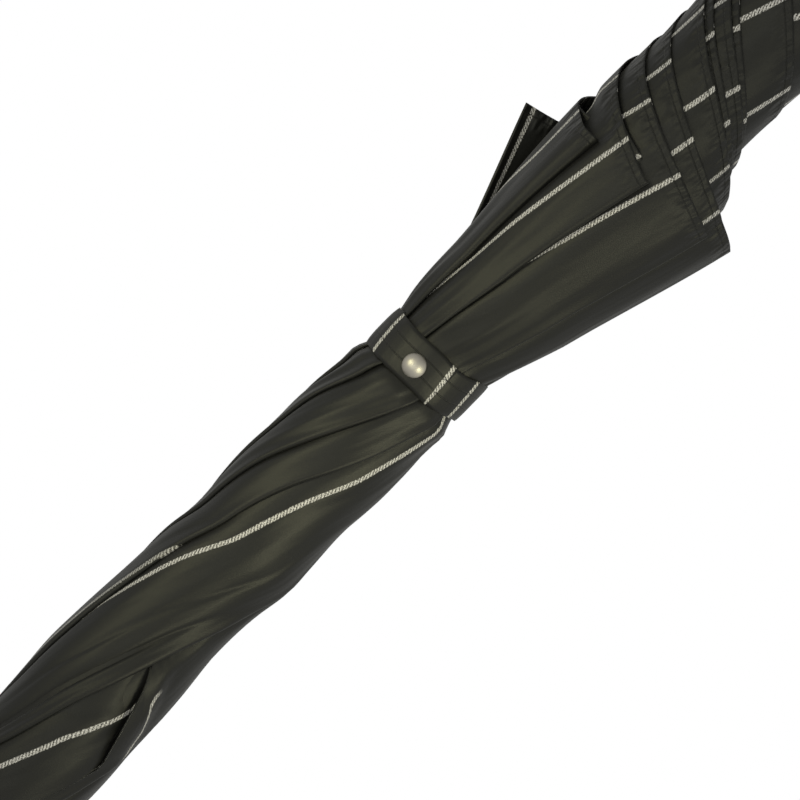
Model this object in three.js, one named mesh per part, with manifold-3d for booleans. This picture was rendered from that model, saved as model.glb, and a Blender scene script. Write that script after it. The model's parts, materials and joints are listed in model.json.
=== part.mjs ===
// A long stick umbrella, furled and strapped shut, in millimetres.
// +Z runs up the shaft from the crook handle to the ferrule, and the origin is the middle of the handle's
// straight grip. Eight ribs hang from the notch at the top. Each has a stretcher that goes down to the runner,
// and the eight canopy panels are wound round the ribs, each folded down its middle.
import * as THREE from "three";
import { mergeVertices } from "three/addons/utils/BufferGeometryUtils.js";
import Module from "manifold-3d";

const wasm = await Module();
wasm.setup();

// Driving dimensions.
const RIBS = 8;
const RIB_STEP = (2 * Math.PI) / RIBS;
const RIB_LENGTH = 615;
const ARM = 270; // from the notch pivot to the rib's joint, and from there to the runner pivot
const GAP = 0.3; // between touching solids

const GRIP_TOP = 52;
const CROOK_Z = -50; // height of the crook's centre
const CROOK_RADIUS = 42;
const CROOK_NOSE_Z = -34;
const HANDLE_RADIUS = 11;

const TIP_Z = 85; // the ribs' lower ends when the umbrella is shut
const NOTCH_Z = TIP_Z + RIB_LENGTH; // height of the ribs' pivots
const JOINT_Z = NOTCH_Z - ARM;
const RUNNER_Z = NOTCH_Z - 2 * ARM; // height of the stretchers' lower pivots, shut
const OPEN_TRAVEL = 356.06; // how far the runner rises to open the umbrella

// Radii, from the shaft outwards.
const SHAFT_RADIUS = 5;
const SHAFT_BORE = 4;
const RUNNER_BORE = 5.25;
const RUNNER_RADIUS = 6.55;
const PIVOT_RADIUS = 8; // of the notch's and the runner's ring of pivots
const JOINT_RADIUS = 8.4;
const CROWN_RADIUS = 9.2;
const NOTCH_RADIUS = 10.2;
const RIB_INNER = 9.6;
const RIB_OUTER = 12.2;

const TONGUE = 1.0; // thickness of a rib's or stretcher's flat end
const SLOT = 1.8; // width of the slots that the tongues move in
const EYE_RADIUS = 0.95;
const WIRE_RADIUS = 0.45;

// The rolled canopy: outer radius at distances down from the notch pivots.
const ROLL = [
  [9, 18], [50, 22.5], [95, 26], [140, 27.5], [185, 27.5], [235, 26.5], [285, 25.5], [335, 25], [357, 22.6],
  [381, 22.6], [402, 25], [440, 34], [484, 47], [494, 41], [512, 30], [545, 26.5], [590, 23.5],
];
const GORE_HALF_ANGLE = THREE.MathUtils.degToRad(21.5);
const VANE_THICKNESS = 0.9;
const VANE_PITCH = 1.35; // how much deeper a panel lies than the next one wound over it
const VANE_STEP = RIB_STEP / 2; // so that the facets of neighbouring panels are parallel
const VANE_STEPS = 5;

// The strap and its snap, in the frame of a strap that faces -Y.
const STRAP_Z = NOTCH_Z - 369;
const STRAP_WIDTH = 19;
const STRAP_INNER = 23.2;
const STRAP_OUTER = 24;
const TAB_INNER = 25.9;
const TAB_OUTER = 26.7;
const STRAP_STEP = THREE.MathUtils.degToRad(12);
const SNAP_ANGLE = THREE.MathUtils.degToRad(-8.5);
const SNAP_RADIUS = 5;

// ---------------------------------------------------------------------------------------------- helpers

// A three.js geometry as a manifold-3d solid, and back.
function toSolid(geometry) {
  const bare = geometry.clone();
  bare.deleteAttribute("normal");
  bare.deleteAttribute("uv");
  const merged = mergeVertices(bare, 1e-4);
  const vertProperties = new Float32Array(merged.attributes.position.array);
  const triVerts = new Uint32Array(merged.index.array);
  return new wasm.Manifold(new wasm.Mesh({ numProp: 3, vertProperties, triVerts }));
}

function toGeometry(solid) {
  const mesh = solid.getMesh();
  const geometry = new THREE.BufferGeometry();
  geometry.setAttribute("position", new THREE.BufferAttribute(new Float32Array(mesh.vertProperties), 3));
  geometry.setIndex(new THREE.BufferAttribute(new Uint32Array(mesh.triVerts), 1));
  return geometry;
}

function join(...geometries) {
  return toGeometry(geometries.map(toSolid).reduce((a, b) => a.add(b)));
}

function cut(geometry, ...tools) {
  return toGeometry(tools.map(toSolid).reduce((a, b) => a.subtract(b), toSolid(geometry)));
}

// A plate in the radial plane: points are [radius, height], and it is centred on that plane.
function radialPlate(points, thickness) {
  const shape = new THREE.Shape(points.map(([r, z]) => new THREE.Vector2(r, z)));
  const plate = new THREE.ExtrudeGeometry(shape, { depth: thickness, bevelEnabled: false });
  return plate.rotateX(Math.PI / 2).translate(0, thickness / 2, 0);
}

// A turned part about the shaft: profile points are [radius, height], anticlockwise.
function turned(profile, sides) {
  const points = profile.map(([r, z]) => new THREE.Vector2(r, z));
  return new THREE.LatheGeometry([...points, points[0]], sides).rotateX(Math.PI / 2);
}

function box(x0, x1, y0, y1, z0, z1) {
  const geometry = new THREE.BoxGeometry(x1 - x0, y1 - y0, z1 - z0);
  return geometry.translate((x0 + x1) / 2, (y0 + y1) / 2, (z0 + z1) / 2);
}

// A pin across the radial plane, at a radius and height.
function crossPin(radius, length, r, z, sides = 8) {
  return new THREE.CylinderGeometry(radius, radius, length, sides).translate(r, 0, z);
}

// A pin along the radius, from r0 to r1.
function radialPin(radius, r0, r1, z, sides = 8) {
  const pin = new THREE.CylinderGeometry(radius, radius, r1 - r0, sides);
  return pin.rotateZ(Math.PI / 2).translate((r0 + r1) / 2, 0, z);
}

// An arc of points about [r, z], for a plate's rounded end.
function arc(r, z, radius, from, to, steps) {
  const points = [];
  for (let i = 0; i <= steps; i++) {
    const a = THREE.MathUtils.degToRad(from + ((to - from) * i) / steps);
    points.push([r + radius * Math.cos(a), z + radius * Math.sin(a)]);
  }
  return points;
}

const umbrella = new THREE.Group();

function material(color, roughness, metalness) {
  return new THREE.MeshStandardMaterial({ color, roughness, metalness });
}

const MATERIALS = {
  cloth: material(0x24251f, 0.55, 0),
  steel: material(0x1c1d1e, 0.35, 0.9),
  nickel: material(0xc9c7bf, 0.2, 1),
  wood: material(0x5b2f18, 0.35, 0),
};

// Adds a mesh, turned about the shaft by angle.
function add(name, geometry, finish, angle = 0) {
  const mesh = new THREE.Mesh(geometry, MATERIALS[finish]);
  mesh.name = name;
  mesh.rotation.z = angle;
  umbrella.add(mesh);
}

// ------------------------------------------------------------------------------------- shaft and handle

const FERRULE_Z = NOTCH_Z + 17;
const SHAFT_TOP = NOTCH_Z + 60;
const SHAFT_BOTTOM = -15;
const CATCH_ANGLE = RIB_STEP / 2; // between two ribs
const LOW_CATCH_Z = 108;
const HIGH_CATCH_Z = RUNNER_Z - 55 + OPEN_TRAVEL - 22;
const STOP_Z = RUNNER_Z + 5 + OPEN_TRAVEL + 2.5;
const NAIL_Z = NOTCH_Z + 4.8;

function shaft() {
  const tube = turned(
    [[SHAFT_BORE, SHAFT_BOTTOM], [SHAFT_RADIUS, SHAFT_BOTTOM], [SHAFT_RADIUS, SHAFT_TOP], [SHAFT_BORE, SHAFT_TOP]],
    24,
  );
  const catchSlot = (z) => box(0, 8, -0.9, 0.9, z + 1, z + 23);
  const holes = [
    catchSlot(LOW_CATCH_Z), catchSlot(HIGH_CATCH_Z),
    radialPin(1.35, -8, 8, STOP_Z, 12), radialPin(0.9, -8, 8, NAIL_Z, 12),
  ];
  return cut(tube, ...holes);
}

// A latch plate that pivots on its foot inside the shaft. Its tooth stands out of the slot.
function catchPlate(z) {
  const outline = [
    [-2.4, z], [0.6, z - 0.8], [3.4, z + 3], [8.3, z + 16], [8.3, z + 18.2], [5.6, z + 19.4], [3.2, z + 20.6],
    [1, z + 20.6],
  ];
  return radialPlate(outline, 1.2);
}

function crook() {
  const line = new THREE.CurvePath();
  const start = new THREE.Vector3(0, 0, GRIP_TOP);
  const bend = new THREE.Vector3(0, 0, CROOK_Z);
  line.add(new THREE.LineCurve3(start, bend));
  class HalfTurn extends THREE.Curve {
    getPoint(t) {
      const a = Math.PI * (1 + t);
      return new THREE.Vector3(CROOK_RADIUS * (1 + Math.cos(a)), 0, CROOK_Z + CROOK_RADIUS * Math.sin(a));
    }
  }
  line.add(new HalfTurn());
  const turnEnd = new THREE.Vector3(2 * CROOK_RADIUS, 0, CROOK_Z);
  line.add(new THREE.LineCurve3(turnEnd, new THREE.Vector3(2 * CROOK_RADIUS, 0, CROOK_NOSE_Z)));
  const section = new THREE.Shape();
  section.absarc(0, 0, HANDLE_RADIUS, 0, 2 * Math.PI);
  const rod = new THREE.ExtrudeGeometry(section, { steps: 36, curveSegments: 9, extrudePath: line });
  const bore = turned([[0, -18], [SHAFT_RADIUS + GAP, -18], [SHAFT_RADIUS + GAP, 60], [0, 60]], 24);
  return cut(rod, bore);
}

function handleCollar() {
  const z = GRIP_TOP + GAP;
  const bore = SHAFT_RADIUS + GAP;
  return turned(
    [[bore, z], [12, z], [12.6, z + 1], [12.6, z + 3], [11.8, z + 4], [11.4, z + 9], [10, z + 11.5], [bore, z + 12]],
    24,
  );
}

function noseCap() {
  const z = CROOK_NOSE_Z + GAP;
  const cap = turned([[0, z], [11.5, z], [11.5, z + 4], [10.2, z + 7.5], [7, z + 9.6], [3, z + 10.5], [0, z + 10.5]], 24);
  return cap.translate(2 * CROOK_RADIUS, 0, 0);
}

function topCap() {
  const z = NOTCH_Z + 7.2;
  const bore = SHAFT_RADIUS + GAP;
  return turned(
    [[bore, z], [14, z], [14.4, z + 0.8], [13, z + 3], [9.5, z + 6.5], [7.4, z + 9.5], [bore, z + 9.5]], 24,
  );
}

function crownPatch() {
  const z = NOTCH_Z + 6.3;
  return turned([[SHAFT_RADIUS + GAP, z], [15.5, z], [15.5, z + 0.6], [SHAFT_RADIUS + GAP, z + 0.6]], 24);
}

function ferrule() {
  const bore = SHAFT_RADIUS + GAP;
  const z = FERRULE_Z;
  return turned(
    [[bore, z], [7, z], [7.6, z + 1.5], [6.9, z + 3], [6.1, z + 46], [5.6, z + 50], [bore, z + 50]], 24,
  );
}

function ferruleTip() {
  const z = FERRULE_Z + 50 + GAP;
  return turned([[0, z], [5.4, z], [5.6, z + 3], [4.6, z + 5], [4.2, z + 11], [3.2, z + 12], [0, z + 12]], 20);
}

// ------------------------------------------------------------------------------------------------ frame

// The slots for the tongues, all round a crown, from radius r outwards.
function crownSlots(r, z0, z1) {
  return Array.from({ length: RIBS }, (_, i) =>
    box(r, CROWN_RADIUS + 4, -SLOT / 2, SLOT / 2, z0, z1).rotateZ(i * RIB_STEP),
  );
}

function notch() {
  const z0 = NOTCH_Z - 5;
  const z1 = NOTCH_Z + 6;
  const body = turned(
    [[SHAFT_RADIUS + 0.25, z0], [NOTCH_RADIUS - 0.8, z0], [NOTCH_RADIUS, z0 + 1], [NOTCH_RADIUS, z1],
     [SHAFT_RADIUS + 0.25, z1]], 32,
  );
  const groove = new THREE.TorusGeometry(PIVOT_RADIUS, WIRE_RADIUS + GAP, 6, 32).translate(0, 0, NOTCH_Z);
  const nailHole = radialPin(0.9, -12, 12, NAIL_Z, 12).rotateZ(CATCH_ANGLE);
  return cut(body, ...crownSlots(6.1, z0 - 1, NOTCH_Z + 3.4), groove, nailHole);
}

function runner() {
  const bottom = RUNNER_Z - 55;
  const z0 = RUNNER_Z - 6;
  const z1 = RUNNER_Z + 5;
  const body = turned(
    [[RUNNER_BORE, bottom], [7.9, bottom], [8.3, bottom + 1], [7.9, bottom + 2.4], [RUNNER_RADIUS, bottom + 3.4],
     [RUNNER_RADIUS, z0 - 2.4], [CROWN_RADIUS, z0], [CROWN_RADIUS, z1], [RUNNER_BORE, z1]], 32,
  );
  const keyway = box(4, 12, -SLOT / 2, SLOT / 2, bottom - 1, z1 + 1).rotateZ(CATCH_ANGLE);
  const throughSlots = crownSlots(6.75, bottom - 1, z1 + 1);
  return cut(body, ...throughSlots, keyway);
}

// A channel rib: flat tongue with its eye at the notch, U section below, and two ears with a pin at the joint.
function rib() {
  const z = NOTCH_Z;
  const tongue = radialPlate(
    [...arc(PIVOT_RADIUS, z, 1.45, 0, 180, 6), [PIVOT_RADIUS - 1.1, z - 7], [RIB_INNER + 0.7, z - 17],
     [RIB_OUTER - 0.4, z - 17], [RIB_OUTER - 0.4, z - 13], [PIVOT_RADIUS + 1.45, z - 3]],
    TONGUE,
  );
  const bottom = TIP_Z + 6.3;
  const channel = box(RIB_INNER, RIB_OUTER, -1.6, 1.6, bottom, z - 13);
  const groove = box(RIB_INNER - 1, RIB_OUTER - 0.7, -0.95, 0.95, bottom - 1, z - 17);
  const ear = (side) => box(6.95, RIB_INNER + 0.5, side * 1.2 - 0.4, side * 1.2 + 0.4, JOINT_Z - 3.5, JOINT_Z + 3.5);
  const pin = crossPin(0.6, 2.6, JOINT_RADIUS, JOINT_Z);
  const eye = crossPin(EYE_RADIUS, 4, PIVOT_RADIUS, z, 10);
  const bar = toGeometry(toSolid(channel).subtract(toSolid(groove)));
  return cut(join(tongue, bar, ear(-1), ear(1), pin), eye);
}

function ribTip() {
  const r = (RIB_INNER + RIB_OUTER) / 2;
  const z = TIP_Z;
  const tip = turned([[0, z], [1.6, z + 0.5], [2.2, z + 2], [2.2, z + 3.6], [1.4, z + 4.6], [1.4, z + 6], [0, z + 6]], 12);
  return tip.translate(r, 0, 0);
}

// A stretcher: narrow tongues at both ends, wider between, with the upper eye on the rib's pin.
function stretcher() {
  const top = [JOINT_RADIUS, JOINT_Z];
  const foot = [PIVOT_RADIUS, RUNNER_Z];
  const blade = radialPlate(
    [...arc(...top, 1.35, 0, 180, 6), [top[0] - 1, top[1] - 4], [foot[0] - 1, foot[1] + 3],
     ...arc(...foot, 1.1, 180, 360, 6), [foot[0] + 1, foot[1] + 3], [top[0] + 0.9, top[1] - 4]],
    TONGUE,
  );
  const middle = (foot[0] + top[0]) / 2;
  const bar = box(middle - 0.8, middle + 0.8, -1.1, 1.1, RUNNER_Z + 34, JOINT_Z - 14);
  return cut(join(blade, bar), crossPin(EYE_RADIUS, 4, ...top, 10), crossPin(0.6, 4, ...foot));
}

// --------------------------------------------------------------------------------------------- canopy

// Places down the roll, its radius there, and how far the folded edges have turned by there.
function rollStations() {
  const stations = [{ down: ROLL[0][0], radius: ROLL[0][1], turn: 0 }];
  for (let i = 1; i < ROLL.length; i++) {
    const [[d0, r0], [d1, r1]] = [ROLL[i - 1], ROLL[i]];
    const turn = ((d1 - d0) * Math.tan(GORE_HALF_ANGLE)) / Math.min((r0 + r1) / 2, 27);
    const parts = Math.ceil(turn / VANE_STEP - 0.2);
    const start = stations[stations.length - 1].turn;
    for (let k = 1; k <= parts; k++) {
      const share = k / parts;
      stations.push({ down: d0 + (d1 - d0) * share, radius: r0 + (r1 - r0) * share, turn: start + turn * share });
    }
  }
  return stations;
}

// One folded panel, wound round the ribs: its cut across the shaft is a strip that spirals in from the folded edge.
function canopyVane() {
  const rings = rollStations().map(({ down, radius, turn }) => {
    const strip = (depth) =>
      Array.from({ length: VANE_STEPS + 1 }, (_, j) => {
        const r = radius - depth - (VANE_PITCH * j) / 2;
        const a = -turn + j * VANE_STEP;
        return new THREE.Vector3(r * Math.cos(a), r * Math.sin(a), NOTCH_Z - down);
      });
    return [...strip(0), ...strip(VANE_THICKNESS).reverse()];
  });
  return loft(rings);
}

// Closed solid through rings of the same number of points. A ring is a strip: its first half goes out along one face
// and its second half comes back along the other, and both faces are split along matching diagonals.
function loft(rings) {
  const n = rings[0].length;
  const triangles = [];
  for (let i = 0; i + 1 < rings.length; i++) {
    for (let j = 0; j < n; j++) {
      const [a, b] = [i * n + j, i * n + ((j + 1) % n)];
      if (j < n / 2 - 1) triangles.push(a, b, b + n, a, b + n, a + n);
      else triangles.push(a, b, a + n, b, b + n, a + n);
    }
  }
  const cap = (ring, flip) => {
    for (let j = 0; j + 1 < n / 2; j++) {
      const quad = [j, j + 1, n - 2 - j, n - 1 - j].map((k) => ring * n + k);
      const [a, b, c, d] = flip ? quad.reverse() : quad;
      triangles.push(a, b, c, a, c, d);
    }
  };
  cap(0, true);
  cap(rings.length - 1, false);
  const geometry = new THREE.BufferGeometry().setFromPoints(rings.flat());
  geometry.setIndex(triangles);
  const volume = toSolid(geometry).volume();
  if (volume < 0) geometry.setIndex(triangles.slice().reverse());
  return geometry;
}

// --------------------------------------------------------------------------------------- strap and snap

// A band of the strap between two angles. Angle 0 faces -Y and they grow towards -X.
function band(inner, outer, from, to) {
  const steps = Math.ceil((to - from) / STRAP_STEP);
  const shape = new THREE.Shape();
  const at = (r, i) => {
    const a = from + ((to - from) * i) / steps;
    return new THREE.Vector2(-r * Math.sin(a), -r * Math.cos(a));
  };
  const points = [];
  for (let i = 0; i <= steps; i++) points.push(at(outer, i));
  for (let i = steps; i >= 0; i--) points.push(at(inner, i));
  shape.setFromPoints(points);
  const ring = new THREE.ExtrudeGeometry(shape, { depth: STRAP_WIDTH, bevelEnabled: false });
  return ring.translate(0, 0, STRAP_Z - STRAP_WIDTH / 2);
}

// A round snap part, turned about the snap's axis. Its profile is [radius, distance from the shaft].
function snapPart(profile, sides = 16) {
  const points = [...profile, profile[0]].map(([r, d]) => new THREE.Vector2(r, d));
  const part = new THREE.LatheGeometry(points, sides).rotateX(Math.PI);
  return part.rotateZ(-SNAP_ANGLE).translate(0, 0, STRAP_Z + 1.5);
}

const deg = THREE.MathUtils.degToRad;
const strapBase = band(STRAP_INNER, STRAP_OUTER, deg(-24), deg(286));
const tabBand = band(TAB_INNER, TAB_OUTER, deg(-72), deg(21));
const snapCap = snapPart([
  [0, TAB_OUTER + GAP], [SNAP_RADIUS, TAB_OUTER + GAP], [SNAP_RADIUS, TAB_OUTER + 1], [4.2, TAB_OUTER + 1.9],
  [2.4, TAB_OUTER + 2.6], [0, TAB_OUTER + 2.8],
]);
const snapSocket = snapPart([
  [1.6, TAB_INNER - 1.2], [3.4, TAB_INNER - 1.2], [3.4, TAB_INNER - 0.6], [1.6, TAB_INNER - 0.6],
]);
const snapStud = snapPart([
  [0, STRAP_OUTER + 0.2], [3.4, STRAP_OUTER + 0.2], [3.4, STRAP_OUTER + 0.5], [1.2, STRAP_OUTER + 0.5],
  [1.2, TAB_INNER - 0.6], [0, TAB_INNER - 0.6],
]);

// ---------------------------------------------------------------------------------------------- assembly

add("shaft_tube", shaft(), "steel", CATCH_ANGLE);
add("stop_pin", radialPin(1, -7, 7, STOP_Z, 12), "steel", CATCH_ANGLE);
add("notch_nail", radialPin(0.55, -9.8, 9.8, NAIL_Z, 8), "nickel", CATCH_ANGLE);
add("lower_catch", catchPlate(LOW_CATCH_Z), "nickel", CATCH_ANGLE);
add("upper_catch", catchPlate(HIGH_CATCH_Z), "nickel", CATCH_ANGLE);
add("crook_handle", crook(), "wood");
add("handle_collar", handleCollar(), "nickel");
add("crook_nose_cap", noseCap(), "nickel");
add("crown_patch", crownPatch(), "cloth");
add("top_cap", topCap(), "nickel");
add("ferrule", ferrule(), "nickel");
add("ferrule_tip", ferruleTip(), "steel");
add("top_notch", notch(), "nickel");
add("notch_wire", new THREE.TorusGeometry(PIVOT_RADIUS, WIRE_RADIUS, 6, 32).translate(0, 0, NOTCH_Z), "steel");
add("runner", runner(), "nickel");

for (let i = 0; i < RIBS; i++) {
  const angle = i * RIB_STEP;
  add(`rib_${i + 1}`, rib(), "steel", angle);
  add(`rib_tip_${i + 1}`, ribTip(), "nickel", angle);
  add(`stretcher_${i + 1}`, stretcher(), "steel", angle);
  add(`canopy_panel_${i + 1}`, canopyVane(), "cloth", angle);
}

add("tie_strap", strapBase, "cloth");
add("strap_tab", tabBand, "cloth");
add("snap_cap", snapCap, "nickel");
add("snap_socket", snapSocket, "nickel");
add("snap_stud", snapStud, "nickel");

export default umbrella;
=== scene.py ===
"""A furled stick umbrella: black cloth with woven silver pinstripes, rolled round the ribs and strapped.

The cloth's lengths are millimetres until MM makes metres of them; the stage is laid out in metres. "Down" is
the distance below the notch's pivots. "Angle" is measured round the shaft in degrees, 0 towards -Y, near the
strap's snap, and growing towards -X. Each panel lies over the one before it, all the way round the roll.
"""
import json
import math
import random

import bmesh
import bpy
import numpy as np
from mathutils import Matrix, Vector


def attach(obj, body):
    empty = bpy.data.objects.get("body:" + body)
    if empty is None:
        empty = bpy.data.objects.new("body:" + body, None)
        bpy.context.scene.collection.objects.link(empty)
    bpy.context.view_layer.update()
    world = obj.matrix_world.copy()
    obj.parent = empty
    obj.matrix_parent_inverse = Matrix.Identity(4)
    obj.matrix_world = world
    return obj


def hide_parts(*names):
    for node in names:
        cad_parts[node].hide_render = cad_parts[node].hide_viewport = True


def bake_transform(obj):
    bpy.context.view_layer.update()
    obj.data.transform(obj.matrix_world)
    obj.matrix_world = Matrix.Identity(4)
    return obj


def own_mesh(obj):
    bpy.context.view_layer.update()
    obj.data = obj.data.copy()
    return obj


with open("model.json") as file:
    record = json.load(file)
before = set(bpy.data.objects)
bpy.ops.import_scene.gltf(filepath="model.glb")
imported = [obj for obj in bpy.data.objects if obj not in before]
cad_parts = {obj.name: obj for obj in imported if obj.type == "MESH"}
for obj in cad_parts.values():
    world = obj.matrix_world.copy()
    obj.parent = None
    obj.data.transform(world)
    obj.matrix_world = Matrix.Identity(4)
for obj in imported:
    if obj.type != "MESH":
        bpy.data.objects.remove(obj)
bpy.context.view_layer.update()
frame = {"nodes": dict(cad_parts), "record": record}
random.seed(7)

MM = 0.001
NOTCH_Z = 700.0
STRAP_DOWN = 369.0
STRAP_WIDTH = 19.0
STRIPE_PITCH = 32.5
PANELS = 8
CLOTH_REACH = 606.0  # how far down the cloth's lowest points are
GORE_TAN = 0.39  # half the flat gore's width over its length

# ---------------------------------------------------------------------------------------- the roll's shape


def smooth_curve(xs, ys):
    """A smooth function through the points, level beyond its ends."""
    xs, ys = np.asarray(xs, float), np.asarray(ys, float)
    slopes = np.gradient(ys, xs)

    def at(x):
        x = np.clip(np.asarray(x, float), xs[0], xs[-1])
        i = np.clip(np.searchsorted(xs, x) - 1, 0, len(xs) - 2)
        h = xs[i + 1] - xs[i]
        t = (x - xs[i]) / h
        a = (1 + 2 * t) * (1 - t) ** 2 * ys[i] + t * t * (3 - 2 * t) * ys[i + 1]
        return a + h * (t * (1 - t) ** 2 * slopes[i] + t * t * (t - 1) * slopes[i + 1])

    return at


# Where each panel's folded edge runs: its angle at these places down the roll.
FOLD_DOWN = (9, 137, 150, 171, 189, 204, 225, 241, 265, 297, 329, 353, 385, 430, 489)
FOLD_ANGLES = (
    (-35, 40, 52, 68, 80, 88, 101, 110, 122, 140, 152, 158, 166, 170, 172),
    (-115, -38, -27, -11, 4, 17, 38, 57, 80, 104, 128, 136, 140, 142, 144),
    (-165, -112, -97, -78, -69, -64, -55, -47, -33, -7, 26, 48, 76, 88, 91),
    (-210, -170, -160, -148, -137, -127, -113, -98, -74, -46, -11, 13, 38, 53, 68),
    (-255, -202, -192, -180, -169, -159, -144, -130, -108, -84, -62, -38, -17.5, -1.5, 18.5),
    (-300, -234, -224, -212, -201, -191, -176, -162, -144, -122, -100, -78, -54.5, -43.5, -26.5),
    (-340, -262, -252, -240, -229, -219, -206, -194, -177, -156, -140, -130, -118, -108, -99),
    (-370, -280, -268, -258, -250, -244, -235, -226, -210, -192, -178, -170, -164, -158, -150),
)
FOLD_CURVES = [smooth_curve(FOLD_DOWN, angles) for angles in FOLD_ANGLES]
# Where a panel is bunched, its first stripe comes nearer to its fold or draws away from it. These are the
# stripe's distances from the fold, at places down the roll.
STRIPE_DRIFT = {
    0: smooth_curve((130, 145, 164, 171, 186), (25.2, 25.7, 27.4, 30.7, 31)),
    1: smooth_curve((170, 187, 205, 223, 244, 262, 286, 306, 322, 332, 342, 352),
                    (35.8, 37, 36.4, 36.4, 38.6, 39.6, 39, 38, 38.4, 36.5, 34, 34)),
    2: smooth_curve((150, 180, 210, 230, 245, 255, 265), (3.4, 3.2, 2.6, 1.8, 0.6, -2, -4)),
    3: smooth_curve((435, 457, 486), (31.3, 32.6, 33.2)),
    4: smooth_curve((421, 458, 489), (17.7, 18.7, 21)),
    5: smooth_curve((430, 460, 482), (22, 20, 22)),
}
# The first panel has a pucker: a tuck that runs slantwise up from its fold to the next panel's. These are
# the tuck's angle and, on its lower side, the stripe's distance from the fold, down the roll.
TUCK_ANGLE = smooth_curve((152, 171, 187, 196, 203, 215, 232), (66, 45, 31, 24, 15, 6, -4))
TUCK_STRIPE = smooth_curve((166, 173, 180, 186, 190, 194, 198), (-3, 0, 4, 8, 14, 19.5, 20.8))
TUCK_CLOTH = 11.0  # how much cloth the tuck takes up
TUCK_LIFT = 2.0  # how far the cloth stands up below the tuck
TUCK_DIP = 1.6  # how far it lies sunk above the tuck
TUCK_RADIUS = 27.5  # the roll's radius where the tuck's distance from the fold is taken
LAID_RADIUS = 27.0  # the roll's radius where the tuck's cloth is laid round it
TUCK_END = 262.0  # how far down the roll the puckered cloth goes
# Sharp creases along a panel: distance from its fold, depth, and from where to where down the roll.
CREASES = {1: ((9.0, 2.0, 100, 252), (4.2, 0.35, 100, 240), (19.0, 0.7, 150, 300))}

# One value for each panel.
FLARE = (20, 22, 23.3, 17, 9.5, 8.5, 23.5, 20)  # how far its fold stands out past the roll at the hem
FLARE_TOP = (383, 383, 383, 383, 383, 383, 411, 383)  # where down the roll the flare begins
FLARE_REACH = (38, 38, 38, 38, 38, 38, 8, 38)  # how far round from the fold it stays flared
HEM_CURL = (2.0, 2.0, 0.9, 0.8, 4.5, 8.5, 0.5, 2.0)  # thickness of its rolled fold at the hem
BODY_CURL = (1.2, 2.2, 1.8, 1.6, 1.5, 1.5, 1.2, 1.2)  # and in the body of the roll
HEM_OPEN = (0, 0, 0, 0, 2.5, 6, 0, 0)  # how much further down the layer inside the fold reaches
STRIPE_AT = (25, 36, 0.9, 29.5, 18.5, 22.5, -4.4, 25)  # distance of its first stripe from the fold
CORNER_DOWN = (487, 490, 489, 486, 484, 482, 474, 483)  # where down the roll its fold ends in a corner
HEM_SLOPE = (0.22, 0.22, 0.22, 0.22, 0.36, 0.22, 0.22, 0.22)  # how steeply its hem leaves the corner

# The radius of the roll's outer face, down the roll.
SKIN = smooth_curve(
    (-3, 12, 50, 95, 140, 175, 190, 206, 229, 269, 300, 329,
     349, 357, 361, 377, 386, 430, 480, 510, 530, 560, 606),
    (14.4, 17.2, 22, 25.6, 27.2, 27.9, 28.1, 27.3, 25.6, 26.1, 26.2, 26.6,
     25.3, 25.3, 23.6, 23.0, 24.4, 26.8, 29.5, 30, 30.2, 32.5, 34.5),
)
# The roll's bow towards +X.
LEAN = smooth_curve((60, 120, 165, 180, 200, 229, 252, 269, 280, 300, 312, 335, 350, 395, 415),
                    (0, 0.8, 1.2, 2.4, 3.1, 3.8, 3.0, 1.1, 2.0, 2.7, 2.2, 1.7, 1.0, 0.9, 0))
CORE_RADIUS = 13.2  # the ribs' outer edge, which the innermost layer lies on
FOLD_STEP = 0.8  # how far a panel drops where the next one's fold crosses it
STACK = 1.2  # depth of one more folded panel in the roll
CREASE_SHARPNESS = 4.0  # of the line where one panel goes under the next
LAYERS = 9  # how many later folds are looked at when a panel's depth under them is worked out
CLOTH = 0.4  # between the two layers of a flat fold
CLOTH_THICKNESS = 0.16
FLARE_END = 489.0  # where down the roll the flare is widest


def ramp(x, low, high):
    """0 below low, 1 above high, and smooth between them."""
    t = np.clip((np.asarray(x, float) - low) / (high - low), 0, 1)
    return t * t * (3 - 2 * t)


def fold_angle(k, down):
    """Where panel k's fold is; panels past the last are the same ones, a turn further round."""
    return FOLD_CURVES[k % PANELS](down) - 360 * (k // PANELS)


def flare_share(k, down):
    """How much of its flare a panel has, down the roll."""
    top = FLARE_TOP[k % PANELS]
    return np.clip((down - top) / (FLARE_END - top), 0, 1) * (1 - 0.35 * ramp(down, 495, 540))


def panel_top(k, angle, down):
    """Radius of panel k's face if nothing lies over it."""
    skin = SKIN(down)
    flare = FLARE[k % PANELS] * flare_share(k, down)
    away = np.radians(np.maximum(fold_angle(k, down) - angle, 0)) * (skin + 0.5 * flare)
    droop = 0.7 * (1 - np.exp(-away / 7))
    return skin + flare * np.exp(-((away / FLARE_REACH[k % PANELS]) ** 1.4)) - droop


def panel_radius(k, angle, down):
    """Radius of panel k's face where it passes under the panels wound over it."""
    room = SKIN(down) - CORE_RADIUS
    tops = [panel_top(k, angle, down)]
    dip = (0.4 + 0.5 * ramp(down, 400, 470)) * SKIN(down)  # how steeply it goes under the next fold
    for m in range(1, LAYERS + 1):
        past = np.radians(angle - fold_angle(k + m, down))
        top = panel_top(k + m, angle, down) + dip * np.maximum(past, 0)
        curl = HEM_CURL[(k + m) % PANELS] * flare_share(k + m, down) * (1 - ramp(down, 487, 502))
        depth = FOLD_STEP + STACK * m + 0.6 * curl
        tops.append(top - room * (1 - np.exp(-depth / room)))
    tops = np.array(tops)
    low = tops.min(axis=0)
    return low - np.log(np.exp(-CREASE_SHARPNESS * (tops - low)).sum(axis=0)) / CREASE_SHARPNESS


# How many pleats there are round the roll, where they are, and how deep.
PLEATS = [(n, random.uniform(0, 6.28), random.uniform(0.5, 1)) for n in (5, 9, 14, 19, 26)]


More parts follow.
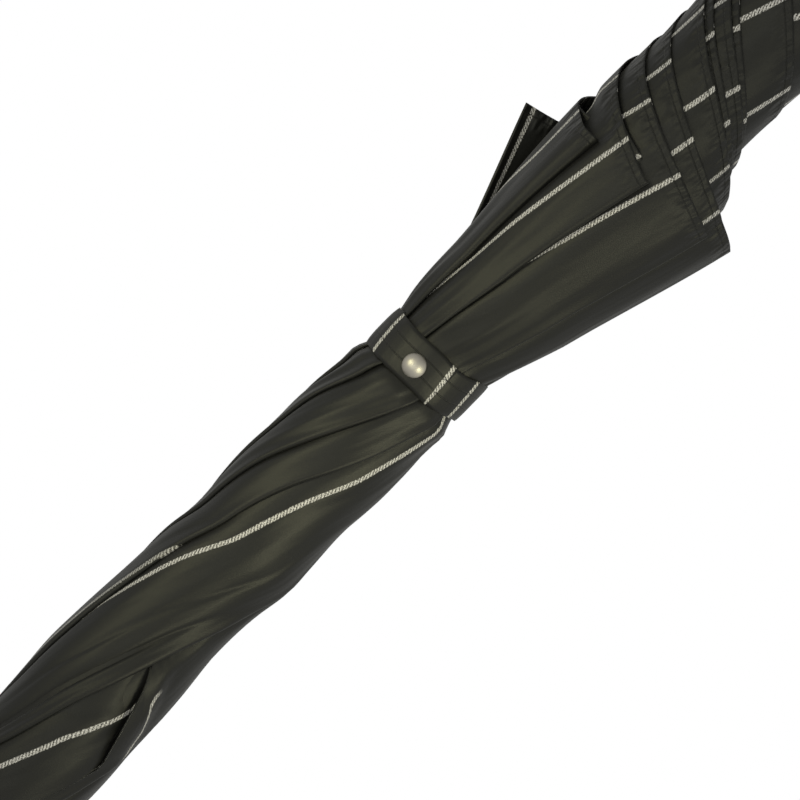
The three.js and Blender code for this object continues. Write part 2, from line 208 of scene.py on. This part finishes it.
def pleats(angle, down):
    """Soft pleats that run with the folds through all the layers, deepest on both sides of the strap and
    pressed flat under it."""
    phase = np.radians(angle - FOLD_CURVES[2](down))
    wave = sum(c / n**0.6 * np.sin(n * phase + p + 1.2 * np.sin(down / 37 + p)) for n, p, c in PLEATS)
    depth = 0.35 + 1.2 * np.exp(-(((down - 390) / 20) ** 2)) + 0.9 * np.exp(-(((down - 347) / 16) ** 2))
    return depth * wave * (1 - 0.9 * np.exp(-(((down - STRAP_DOWN) / 9) ** 4)))


def to_points(angle, radius, down):
    """Places on the leaning roll, in metres."""
    a = np.radians(angle)
    x = LEAN(down) * radius / SKIN(down) - radius * np.sin(a)
    return np.stack([x, -radius * np.cos(a), NOTCH_Z - down], axis=-1) * MM


# -------------------------------------------------------------------------------------------- mesh helpers


def grid_mesh(name, points, uv=None):
    """A sheet through a grid of points, with uv at each point."""
    rows, cols = points.shape[:2]
    index = np.arange(rows * cols).reshape(rows, cols)
    corners = [index[:-1, :-1], index[:-1, 1:], index[1:, 1:], index[1:, :-1]]
    quads = np.stack(corners, axis=-1).reshape(-1, 4)
    mesh = bpy.data.meshes.new(name)
    mesh.from_pydata(points.reshape(-1, 3).tolist(), [], quads.tolist())
    if uv is not None:
        layer = mesh.uv_layers.new(name="UVMap")
        layer.data.foreach_set("uv", uv.reshape(-1, 2)[quads.ravel()].astype(np.float32).ravel())
    mesh.polygons.foreach_set("use_smooth", [True] * len(mesh.polygons))
    obj = bpy.data.objects.new(name, mesh)
    bpy.context.scene.collection.objects.link(obj)
    return obj


def solidify(obj, thickness):
    """Gives a sheet its thickness, half on each side."""
    mod = obj.modifiers.new("thickness", "SOLIDIFY")
    mod.thickness = thickness * MM
    mod.offset = 0


# ----------------------------------------------------------------------------------------------- materials


class Shader:
    """Builds a node material with short calls."""

    def __init__(self, name):
        self.material = bpy.data.materials.new(name)
        self.material.use_nodes = True
        self.tree = self.material.node_tree
        self.bsdf = self.tree.nodes["Principled BSDF"]

    def node(self, kind, **settings):
        n = self.tree.nodes.new(kind)
        for key, value in settings.items():
            setattr(n, key, value)
        return n

    def link(self, a, b):
        self.tree.links.new(a, b)

    def put(self, socket, value):
        if isinstance(value, bpy.types.NodeSocket):
            self.link(value, socket)
        elif value is not None:
            socket.default_value = value

    def math(self, operation, a, b=None, c=None):
        n = self.node("ShaderNodeMath", operation=operation)
        for socket, value in zip(n.inputs, (a, b, c)):
            self.put(socket, value)
        return n.outputs[0]

    def near(self, value, centre, half, soft):
        """1 within half of centre, falling to 0 over soft beyond it."""
        away = self.math("ABSOLUTE", self.math("SUBTRACT", value, centre))
        n = self.node("ShaderNodeMapRange", clamp=True)
        for socket, v in zip(n.inputs, (away, half, half + soft, 1.0, 0.0)):
            self.put(socket, v)
        return n.outputs[0]

    def noise(self, vector, scale, detail=2.0):
        n = self.node("ShaderNodeTexNoise")
        self.put(n.inputs["Vector"], vector)
        self.put(n.inputs["Scale"], scale)
        self.put(n.inputs["Detail"], detail)
        return n.outputs[0]

    def combine(self, x, y, z=0.0):
        n = self.node("ShaderNodeCombineXYZ")
        for socket, value in zip(n.inputs, (x, y, z)):
            self.put(socket, value)
        return n.outputs[0]

    def mix(self, factor, a, b):
        n = self.node("ShaderNodeMix", data_type="RGBA")
        self.put(n.inputs[0], factor)
        self.put(n.inputs[6], a)
        self.put(n.inputs[7], b)
        return n.outputs[2]

    def bump(self, height, distance, strength=1.0, normal=None):
        n = self.node("ShaderNodeBump")
        self.put(n.inputs["Strength"], strength)
        self.put(n.inputs["Distance"], distance)
        self.put(n.inputs["Height"], height)
        if normal is not None:
            self.link(normal, n.inputs["Normal"])
        return n.outputs[0]

    def finish(self, **values):
        for key, value in values.items():
            self.put(self.bsdf.inputs[key.replace("_", " ")], value)
        return self.material


BLACK_LOW = (0.0034, 0.0035, 0.0029, 1)
BLACK_HIGH = (0.0078, 0.0080, 0.0067, 1)
STITCH_BLACK = (0.0015, 0.0015, 0.001, 1)
STRIPE_PALE = (0.93, 0.91, 0.84, 1)
STRIPE_DARK = (0.05, 0.046, 0.036, 1)
STRIPE_HALF = 0.78  # half a stripe's width
HEM_TURNED = 3.3  # width of the turned hem, which is sewn along its edge


def stitched(s, across, along, stitches, colour, normal):
    """Adds rows of stitches, at these distances from the cloth's edge, to a colour and a normal."""
    sewn = 0.0
    for row in stitches:
        dash = s.math("SINE", s.math("MULTIPLY", across, 2.9))
        dashes = s.math("GREATER_THAN", dash, -0.35)
        line = s.math("MULTIPLY", s.near(along, row, 0.16, 0.18), s.math("MULTIPLY_ADD", dashes, 0.55, 0.45))
        sewn = s.math("MAXIMUM", sewn, line)
    colour = s.mix(s.math("MULTIPLY", sewn, 0.75), colour, STITCH_BLACK)
    return colour, s.bump(s.math("MULTIPLY", sewn, -1.0), 0.00045, 1.0, normal)


def hemmed(s, across, along, normal):
    """Adds the turned hem and its puckers to a normal."""
    pucker = s.noise(s.combine(s.math("DIVIDE", across, 4.0), s.math("DIVIDE", along, 11.0)), 1.0, 1.0)
    edge = s.near(along, 3.0, 1.5, 6.0)
    normal = s.bump(s.math("MULTIPLY", s.math("SUBTRACT", pucker, 0.5), edge), 0.0022, 1.0, normal)
    return s.bump(s.near(along, 0.0, HEM_TURNED, 0.4), 0.0002, 1.0, normal)


def cloth_material(name, stitches, hem):
    """Black satin cloth with woven stripes where uv's first value is near 0 in each pitch. Its second value
    is the distance from the hem or, on the strap, across it. Where the plain attribute is 1, the stripes are
    taken away; its values between 0 and 1 dim them, which on the third panel is painted shade."""
    s = Shader(name)
    split = s.node("ShaderNodeSeparateXYZ")
    s.link(s.node("ShaderNodeUVMap", uv_map="UVMap").outputs[0], split.inputs[0])
    across, along = split.outputs[0], split.outputs[1]
    pitch = s.math("MULTIPLY", s.math("ROUND", s.math("DIVIDE", across, STRIPE_PITCH)), STRIPE_PITCH)
    off = s.math("SUBTRACT", across, pitch)
    ragged = s.math("MULTIPLY", s.math("SUBTRACT", s.noise(s.combine(across, along), 1.3), 0.5), 0.9)
    # plain takes stripes away where they would show wrongly, and its partial values dim a stripe as painted
    # shade.
    stripe_gone_or_shaded = s.node("ShaderNodeAttribute", attribute_name="plain").outputs["Fac"]
    line = s.near(s.math("ADD", off, ragged), 0.0, STRIPE_HALF, 0.3)
    stripe = s.math("MULTIPLY", line, s.math("SUBTRACT", 1.0, stripe_gone_or_shaded))
    twill = s.math("SINE", s.math("ADD", s.math("MULTIPLY", along, 4.2), s.math("MULTIPLY", off, 3.4)))
    fleck = s.noise(s.combine(across, along), 1.9, 3.0)
    thread = s.math("MULTIPLY_ADD", twill, 0.34, s.math("MULTIPLY_ADD", fleck, 3.6, -1.3))
    silver = s.mix(s.math("MINIMUM", s.math("MAXIMUM", thread, 0.0), 1.0), STRIPE_DARK, STRIPE_PALE)
    weave = s.noise(s.combine(s.math("MULTIPLY", across, 2.4), s.math("MULTIPLY", along, 2.4)), 1.0, 3.0)
    tone = s.mix(weave, BLACK_LOW, BLACK_HIGH)
    colour = s.mix(stripe, tone, silver)
    creases = s.noise(s.combine(s.math("DIVIDE", across, 9.0), s.math("DIVIDE", along, 95.0)), 1.0, 1.5)
    fine = s.noise(s.combine(s.math("DIVIDE", across, 2.6), s.math("DIVIDE", along, 45.0)), 1.0, 1.0)
    height = s.math("MULTIPLY_ADD", fine, 0.07, creases)
    normal = s.bump(height, 0.001)
    normal = s.bump(weave, 0.00012, 0.6, normal)
    normal = s.bump(s.math("MULTIPLY", stripe, thread), 0.00025, 0.8, normal)
    colour, normal = stitched(s, across, along, stitches, colour, normal)
    if hem:
        normal = hemmed(s, across, along, normal)
    s.link(normal, s.bsdf.inputs["Normal"])
    return s.finish(
        Base_Color=colour,
        Roughness=s.math("MULTIPLY_ADD", stripe, -0.05, 0.47),
        Specular_IOR_Level=0.38,
        Specular_Tint=(1.0, 1.0, 0.92, 1),
        Sheen_Weight=0.10,
        Sheen_Roughness=0.45,
        Sheen_Tint=(0.8, 0.79, 0.7, 1),
    )


def plain_material(name, colour, roughness, metallic=0.0):
    """A plain finish, with a little procedural unevenness in its polish."""
    s = Shader(name)
    place = s.node("ShaderNodeTexCoord").outputs["Object"]
    uneven = s.noise(place, 900.0, 3.0)
    polish = s.math("MULTIPLY_ADD", uneven, 0.08, roughness - 0.04)
    return s.finish(Base_Color=colour, Metallic=metallic, Roughness=polish)


def wood_material():
    """Dark varnished wood, with its grain along the shaft."""
    s = Shader("polished wood")
    place = s.node("ShaderNodeTexCoord").outputs["Object"]
    stretch = s.node("ShaderNodeMapping")
    s.link(place, stretch.inputs["Vector"])
    stretch.inputs["Scale"].default_value = (190, 190, 14)
    grain = s.noise(stretch.outputs[0], 1.0, 5.0)
    colour = s.mix(grain, (0.045, 0.013, 0.005, 1), (0.19, 0.07, 0.025, 1))
    return s.finish(Base_Color=colour, Roughness=0.22, Coat_Weight=0.6, Coat_Roughness=0.06)


CANOPY_CLOTH = cloth_material("pinstriped cloth", stitches=(HEM_TURNED,), hem=True)
STRAP_CLOTH = cloth_material("strap cloth", stitches=(6.4, 12.9), hem=False)
NICKEL = plain_material("nickel", (0.74, 0.71, 0.66, 1), 0.24, 1.0)
SNAP_METAL = plain_material("dull nickel", (0.56, 0.53, 0.46, 1), 0.48, 1.0)
STEEL = plain_material("black steel", (0.02, 0.02, 0.021, 1), 0.38, 0.6)
WOOD = wood_material()

# --------------------------------------------------------------------------------------- the rolled panels

ROWS = 150
COLUMNS = 100
TUCK_COLUMN = COLUMNS // 3  # the first panel's column that runs along its tuck
CROWN_DOWN = -3.0  # where the cloth is gathered under the top cap
CROWN_LENGTH = 12.0  # how much of the gore's length lies above that
CROWN_FULLNESS = 16.0  # how much wider the gathered cloth is there
CROWN_FADE = 45.0  # how far down that extra width wears off
LAY = 0.94  # the share of a step across the cloth that goes round the roll


def fold_rows(k):
    """Places down the roll for a panel's rows, closer together towards the hem."""
    t = np.linspace(0, 1, ROWS)
    return CROWN_DOWN + (CORNER_DOWN[k] - CROWN_DOWN) * (1 - (1 - t) ** 1.25)


def fold_length(k, downs):
    """Length along the fold from the crown to each row."""
    angle = fold_angle(k, downs)
    radius = panel_top(k, angle, downs)
    points = to_points(angle, radius, downs) / MM
    steps = np.linalg.norm(np.diff(points, axis=0), axis=1)
    return CROWN_LENGTH + np.concatenate([[0], np.cumsum(steps)])


def fold_curl(k, downs):
    """Thickness of the rolled fold."""
    body = BODY_CURL[k] * ramp(downs, 9, 120) + 0.5
    gather = 1 - 0.6 * np.exp(-(((downs - STRAP_DOWN) / 20) ** 2))
    return body * gather + (HEM_CURL[k] - BODY_CURL[k]) * ramp(downs, 385, 480)


def hem_drop(k, width):
    """How much further down than the fold's corner the cloth runs, at each width from the fold."""
    width = np.maximum(width - 1.2 * HEM_OPEN[k], 0)
    return width * (HEM_SLOPE[k] + 0.0018 * width)


def tuck_width(downs):
    """How far from the first panel's fold its tuck is."""
    return np.clip(TUCK_RADIUS * np.radians(fold_angle(0, downs) - TUCK_ANGLE(downs)), 6, 60)


def column_widths(k, downs, length):
    """Distance from the fold of each column of a panel, closer together by the fold and in the tuck."""
    edge = GORE_TAN * length + CROWN_FULLNESS * np.exp((CROWN_DOWN - downs) / CROWN_FADE)
    if k:
        return np.outer(edge, np.linspace(0, 1, COLUMNS) ** 2.1)
    tuck = np.minimum(tuck_width(downs), 0.45 * edge)
    cloth = np.minimum(TUCK_CLOTH, 0.2 * edge)
    third = np.linspace(0, 1, TUCK_COLUMN, endpoint=False)
    rest = np.linspace(0, 1, COLUMNS - 2 * TUCK_COLUMN)
    before = np.outer(tuck, third**1.3)
    inside = tuck[:, None] + np.outer(cloth, third)
    after = (tuck + cloth)[:, None] + np.outer(edge - tuck - cloth, rest**1.6)
    return np.concatenate([before, inside, after], axis=1)


def tucked(angle, width, downs):
    """The first panel's pucker: the cloth is lifted below a slanting tuck, turns under it and comes out
    lower above it. Returns the angles it moves to, what its radius gains, and where it is below the tuck."""
    here = (ramp(downs, 156, 178) * (1 - ramp(downs, 224, 242)))[:, None]
    line = angle[:, TUCK_COLUMN, None]
    arc = width[:, TUCK_COLUMN, None] - width
    depth = 0.5 * TUCK_CLOTH * here
    turned = line + np.degrees(np.where(arc > -depth, -arc, arc + 2 * depth) / LAID_RADIUS)
    beyond = angle + np.degrees(2 * depth / LAID_RADIUS)
    settled = np.where(arc > 0, angle, np.where(arc > -2 * depth, turned, beyond))
    below = TUCK_LIFT * (1 - ramp(arc, 7, 18))
    under = TUCK_LIFT - (TUCK_LIFT + TUCK_DIP) * ramp(-arc / np.maximum(depth, 0.01), 0, 1)
    above = -TUCK_DIP * (1 - ramp(-arc - 2 * depth, 0, 13))
    lift = np.where(arc > 0, below, np.where(arc > -depth, under, above))
    clear = ramp(np.radians(settled - fold_angle(1, downs)[:, None]) * LAID_RADIUS, 0, 10)
    lift = here * np.where(lift > 0, lift * clear - 0.8 * (1 - clear), lift)
    return settled, lift, (arc > 0) & (downs < TUCK_END)[:, None]


def creased(k, width, down):
    """What a panel's sharp creases add to its radius."""
    total = 0 * width
    for place, depth, start, end in CREASES.get(k, ()):
        valley = np.exp(-(((width - place) / 1.5) ** 2)) + 0.5 * np.exp(-np.abs(width - place - 2.5) / 4)
        total = total - depth * valley * ramp(down, start, start + 40) * (1 - ramp(down, end - 50, end))
    return total


def laid_round(k, downs, width, down):
    """Angle and radius of each point of a panel's outer layer, laid round the roll from its fold."""
    angle = np.repeat(fold_angle(k, downs)[:, None], COLUMNS, axis=1)
    radius = np.empty_like(angle)
    radius[:, 0] = panel_radius(k, angle[:, 0], down[:, 0])
    slope = np.zeros(ROWS)
    for j in range(1, COLUMNS):
        step = width[:, j] - width[:, j - 1]
        turn = LAY * step * np.sqrt(np.clip(1 - slope**2, 0.2, 1)) / radius[:, j - 1]
        angle[:, j] = angle[:, j - 1] - np.degrees(turn)
        radius[:, j] = panel_radius(k, angle[:, j], down[:, j])
        slope = (radius[:, j] - radius[:, j - 1]) / np.maximum(step, 1e-3)
    return angle, radius


def stripe_plan(k, downs, width, below):
    """Where a panel's first stripe is from its fold, and how much of the stripes is taken away or dimmed as
    painted shade, at each point.
    """
    row = downs[:, None]
    first = STRIPE_DRIFT[k](row) if k in STRIPE_DRIFT else STRIPE_AT[k] + 0 * width
    plain = 0 * width
    if k == 0:
        first = np.where(below, TUCK_STRIPE(row), first)
        plain = np.where(below, ramp(row, 196, 199), ramp(row, 186, 189) * (row < TUCK_END))
    elif k == 1:
        plain = 1.0 * (width < 22)
    elif k == 2:
        # Painted shade: the stripe along the third panel's rolled fold edge is dimmed to 0.4 for the shade
        # it lies in at the fold.
        plain = 0.4 * (row < TUCK_END) + 0 * width
    elif k == 3:
        plain = 1.0 * (width < 5)
    return first, plain


def two_layers(outer, inner):
    """Joins the values of a panel's two layers at its fold."""
    return np.concatenate([inner[:, :0:-1], outer], axis=1)


def rolled_panel(k):
    """A folded panel wound round the ribs: one sheet that comes out of the roll, turns at its fold, and goes
    back into it."""
    downs = fold_rows(k)
    length = fold_length(k, downs)
    width = column_widths(k, downs, length)
    down = np.minimum(downs[:, None] + hem_drop(k, width), CLOTH_REACH)
    angle, radius = laid_round(k, downs, width, down)
    steep = np.clip(np.gradient(radius, axis=1) / np.maximum(np.gradient(width, axis=1), 1e-3), -0.95, 0.95)
    curl = fold_curl(k, downs)[:, None]
    bend = np.clip(width / (0.75 * curl), 0, 1)
    settle = ramp(width, 0.75 * curl, 3.2 * curl + 2)
    gap = curl * np.sqrt(1 - (1 - bend) ** 2) * (1 - settle) + CLOTH * settle
    face = radius - 0.5 * curl + 0.5 * np.minimum(gap, curl) * (1 - settle) + 0.5 * curl * settle
    below = None
    if k == 0:
        angle, lift, below = tucked(angle, width, downs)
        face = face + lift
    wave = pleats(angle, down) + creased(k, width, down)
    under = np.maximum(face - gap * np.sqrt(1 - steep**2), CORE_RADIUS - CLOTH)
    hem_share = np.linspace(0, 1, ROWS)[:, None] ** 12
    longer = HEM_OPEN[k] * ramp(width, 0, 5) * (1 - ramp(width, 8, 28)) * hem_share
    outer = to_points(angle, face + wave, down)
    inner = to_points(angle - np.degrees(gap * steep / radius), under + wave, down + longer)
    first, plain = stripe_plan(k, downs, width, below)
    across = two_layers(width - first, -width - first)
    along = np.repeat((length[-1] - length)[:, None], 2 * COLUMNS - 1, axis=1)
    obj = grid_mesh(f"rolled_panel_{k + 1}", two_layers(outer, inner), np.stack([across, along], axis=-1))
    # The plain attribute carries where the stripes are taken away and the third panel's painted shade.
    hidden_or_shaded = obj.data.attributes.new("plain", "FLOAT", "POINT")
    hidden_or_shaded.data.foreach_set("value", two_layers(plain, plain).ravel().astype(np.float32))
    return obj


CANOPY_PANELS = []
for panel in range(PANELS):
    rolled = rolled_panel(panel)
    rolled.data.materials.append(CANOPY_CLOTH)
    solidify(rolled, CLOTH_THICKNESS)
    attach(rolled, "frame")
    CANOPY_PANELS.append(rolled)

# --------------------------------------------------------------------------------------- the spread canopy

GORE_ROWS = 40
GORE_COLUMNS = 17
GORE_RADIUS = 12.85
GORE_TOP = 9.0
GORE_TUCK = 1.6  # how far the spread cloth reaches round from its rib while the umbrella is shut
SCALLOP = 26.0  # how much shorter a panel is in the middle of its hem
OPEN_ANGLE = math.radians(70)
RIB_STEP = math.radians(360 / PANELS)


def spread_panel(k):
    """The same panel's cloth, laid against its rib inside the roll as it is while shut. Its uv and its
    scalloped hem are worked out for the panel spread open between its rib and the next."""
    across = np.linspace(0, 1, GORE_COLUMNS)[None, :]
    turned = across * across * (3 - 2 * across)  # each column's share of the turn from one rib to the next
    reach = CLOTH_REACH - SCALLOP * (1 - (2 * turned - 1) ** 2)
    down = GORE_TOP + (reach - GORE_TOP) * np.linspace(0, 1, GORE_ROWS)[:, None]
    side = across * GORE_TUCK + 0 * down
    points = np.stack([GORE_RADIUS + 0 * side, side, NOTCH_Z - down], axis=-1) * MM
    turn = Matrix.Rotation(RIB_STEP * k, 3, "Z")
    points = points @ np.array(turn.transposed())
    spread = (turned - 0.5) * RIB_STEP * math.sin(OPEN_ANGLE)
    middle = down * np.cos(spread)
    uv = np.stack([down * np.sin(spread) - STRIPE_AT[k], np.max(middle[-1]) - middle], axis=-1)
    obj = grid_mesh(f"spread_panel_{k + 1}", points, uv)
    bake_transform(obj)
    return obj


for panel in range(PANELS):
    gore = spread_panel(panel)
    gore.data.materials.append(CANOPY_CLOTH)
    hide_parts(f"canopy_panel_{panel + 1}")

for rolled in CANOPY_PANELS:
    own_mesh(rolled)

# ------------------------------------------------------------------------------------------ strap and snap

STRAP_RADIUS = 24.0
TAB_RADIUS = 24.75
STRAP_LINE = 24.2  # the radius at which the strap's cloth is measured
STRAP_ROWS = 13
STRAP_THICKNESS = 0.5
STRAP_SLANT = 0.12  # how far the stripes slant across the strap, over its width
SNAP_ANGLE = -7.0
SNAP_DOWN = 367.4
DOME_RADIUS = 25.25  # how far from the shaft's axis the dome stands
BUTTON_RADIUS = 24.3  # and the button
SNAP_SIDES = 64
# How far down the strap's middle wanders round the roll.
STRAP_BOW = smooth_curve(
    (-90, -68, -25, -9, 9, 23, 40, 63, 88, 180, 270),
    (1.4, 1, -0.2, 0, 0.2, 0, 0.7, 3, 3.8, 2, 1.4),
)
# The snap's outlines: radius and height above its foot.
DOME = (
    (0.01, 3.1), (1.2, 3.02), (2.3, 2.73), (3.2, 2.2), (4.0, 1.5),
    (4.6, 0.85), (4.9, 0.4), (5.0, 0.1), (4.9, 0),
)
BUTTON = ((0.01, 0.85), (1.4, 0.85), (1.75, 0.7), (1.6, 0.35), (3.2, 0.28), (3.9, 0.1), (4.0, 0.0))


def strap_band(name, start, end, radius, steps, stripe_at):
    """A length of the strap between two angles, lying on the roll, with a stripe at the given angle."""
    angles = np.linspace(start, end, steps)[:, None]
    rows = np.linspace(0, 1, STRAP_ROWS)[None, :]
    down = STRAP_DOWN - STRAP_WIDTH / 2 + STRAP_WIDTH * rows + STRAP_BOW(angles)
    swell = 0.5 * (2 * rows - 1) ** 4 + 0.15 * np.sin(np.radians(angles * 11)) * (2 * rows - 1) ** 2
    points = to_points(angles + 0 * rows, radius - swell, down)
    across = np.radians(angles - stripe_at) * STRAP_LINE + STRAP_SLANT * STRAP_WIDTH * (rows - 0.5)
    along = STRAP_WIDTH * rows + 0 * angles
    return grid_mesh(name, points, np.stack([across, along], axis=-1))


def make_strap_piece(piece, node, body):
    """Gives a band of the strap its cloth, and makes it stand for a CAD node."""
    piece.data.materials.append(STRAP_CLOTH)
    solidify(piece, STRAP_THICKNESS)
    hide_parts(node)
    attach(piece, body)


def turned_part(name, outline):
    """A round part from [radius, height] points, standing at the origin."""
    turns = np.linspace(0, 2 * math.pi, SNAP_SIDES + 1)
    radius, height = np.array(outline).T[:, :, None]
    points = np.stack([radius * np.cos(turns), radius * np.sin(turns), height + 0 * turns], axis=-1)
    return grid_mesh(name, points * MM)


def snap_part(name, outline, radius, metal, node, body):
    """A turned part of the snap at the given distance from the shaft's axis."""
    part = turned_part(name, outline)
    spot = to_points(np.array(SNAP_ANGLE), np.array(radius), np.array(SNAP_DOWN))
    facing = Vector((spot[0], spot[1], 0)).normalized()
    turn = facing.to_track_quat("Z", "Y").to_matrix().to_4x4()
    part.data.transform(Matrix.Translation(Vector(spot)) @ turn)
    part.data.materials.append(metal)
    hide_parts(node)
    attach(part, body)
    return part


strap = strap_band("sewn_strap", start=-20, end=300, radius=STRAP_RADIUS, steps=90, stripe_at=58.5)
tab = strap_band("sewn_strap_tab", start=-72, end=26, radius=TAB_RADIUS, steps=50, stripe_at=23.5)
make_strap_piece(strap, "tie_strap", "rib_7")
make_strap_piece(tab, "strap_tab", "strap_tab")
snap_part("snap_dome", DOME, DOME_RADIUS, SNAP_METAL, "snap_cap", "strap_tab")
stud = snap_part("snap_button", BUTTON, BUTTON_RADIUS, NICKEL, "snap_stud", "rib_7")

# The strap and the button each get a mesh of their own.
for piece in (strap, stud):
    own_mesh(piece)

# --------------------------------------------------------------------------------------- CAD-shaped pieces

FINISHES = {"cloth": CANOPY_CLOTH, "black_steel": STEEL, "nickel": NICKEL, "polished_wood": WOOD}
# The round pieces and their bodies.
ROUND_PIECES = {
    "crook_handle": "frame",
    "crook_nose_cap": "frame",
    "handle_collar": "frame",
    "shaft_tube": "frame",
    "top_cap": "frame",
    "ferrule": "frame",
    "ferrule_tip": "frame",
    "top_notch": "frame",
    "runner": "runner",
}
EDGE_ANGLE = math.radians(35)  # a sharper bend than this is an edge


def smooth_copy(node, body):
    """The CAD piece with its faces joined, so that shading runs smoothly round it up to its edges."""
    source = frame["nodes"][node]
    shape = bmesh.new()
    shape.from_mesh(source.data)
    bmesh.ops.remove_doubles(shape, verts=shape.verts, dist=1e-6)
    mesh = bpy.data.meshes.new(f"smooth_{node}")
    corners = [source.matrix_world @ v.co for v in shape.verts]
    mesh.from_pydata(corners, [], [[v.index for v in face.verts] for face in shape.faces])
    shape.free()
    obj = bpy.data.objects.new(f"smooth_{node}", mesh)
    bpy.context.scene.collection.objects.link(obj)
    mesh.polygons.foreach_set("use_smooth", [True] * len(mesh.polygons))
    split = obj.modifiers.new("crisp edges", "EDGE_SPLIT")
    split.split_angle = EDGE_ANGLE
    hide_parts(node)
    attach(obj, body)
    return obj


for subpart in frame["record"]["subparts"]:
    node, finish = subpart["node"], subpart["material_slot"]
    piece = frame["nodes"][node]
    if node in ROUND_PIECES:
        piece = smooth_copy(node, ROUND_PIECES[node])
    piece.data.materials.clear()
    piece.data.materials.append(FINISHES[finish])

# --------------------------------------------------------------------------------------------------- stage


def floor_disc():
    """A plain pale floor under the handle."""
    bpy.ops.mesh.primitive_circle_add(vertices=96, radius=0.8, fill_type="NGON", location=(0, 0, -0.112))
    disc = bpy.context.object
    disc.name = "floor"
    disc.data.materials.append(plain_material("pale floor", (0.9, 0.9, 0.9, 1), 0.8))
    return disc


def soft_light(name, place, target, size, power, colour, spread):
    """A square area light that points at its target."""
    data = bpy.data.lights.new(name, "AREA")
    data.shape = "SQUARE"
    data.size = size
    data.energy = power
    data.color = colour
    data.spread = math.radians(spread)
    obj = bpy.data.objects.new(name, data)
    bpy.context.scene.collection.objects.link(obj)
    obj.location = place
    obj.rotation_euler = (Vector(target) - Vector(place)).to_track_quat("-Z", "Y").to_euler()
    return obj


def white_world():
    """White behind the object, and a dimmer white for what it reflects."""
    world = bpy.data.worlds.new("world")
    bpy.context.scene.world = world
    world.use_nodes = True
    tree = world.node_tree
    background = tree.nodes["Background"]
    background.inputs["Color"].default_value = (1, 1, 1, 1)
    path = tree.nodes.new("ShaderNodeLightPath")
    strength = tree.nodes.new("ShaderNodeMapRange")
    strength.inputs["To Min"].default_value = 0.47
    strength.inputs["To Max"].default_value = 1.0
    tree.links.new(path.outputs["Is Camera Ray"], strength.inputs["Value"])
    tree.links.new(strength.outputs["Result"], background.inputs["Strength"])


CAMERA_PLACE = Vector((-0.0016, -3.0, 0.3462))
WARM = (1, 0.97, 0.64)
CREAM = (1, 0.99, 0.87)


def camera():
    """Level, square to the shaft, and rolled so that the handle's end is up and to the right."""
    data = bpy.data.cameras.new("camera")
    data.sensor_width = 36
    data.lens = 337.5
    data.clip_start = 0.05
    obj = bpy.data.objects.new("camera", data)
    bpy.context.scene.collection.objects.link(obj)
    right = Vector((-1, 0, -1)).normalized()
    up = Vector((1, 0, -1)).normalized()
    back = Vector((0, -1, 0))
    turn = Matrix((right, up, back)).transposed().to_4x4()
    obj.matrix_world = Matrix.Translation(CAMERA_PLACE) @ turn
    bpy.context.scene.camera = obj


white_world()
stage = [
    floor_disc(),
    soft_light("key", (0.62, -0.58, 0.36), (0, 0, 0.36), 0.3, 0.095, WARM, spread=28),
    soft_light("kicker", (-0.6, -0.6, 0.34), (0, 0, 0.38), 0.3, 0.10, WARM, spread=26),
    soft_light("fill", (-1.2, -1.3, 0.1), (0, 0, 0.24), 0.9, 0.16, CREAM, spread=34),
    soft_light("front", (0.45, -2.4, 0.5), (0, 0, 0.22), 0.9, 0.24, CREAM, spread=26),
]
camera()
bpy.context.scene.view_settings.view_transform = "Standard"
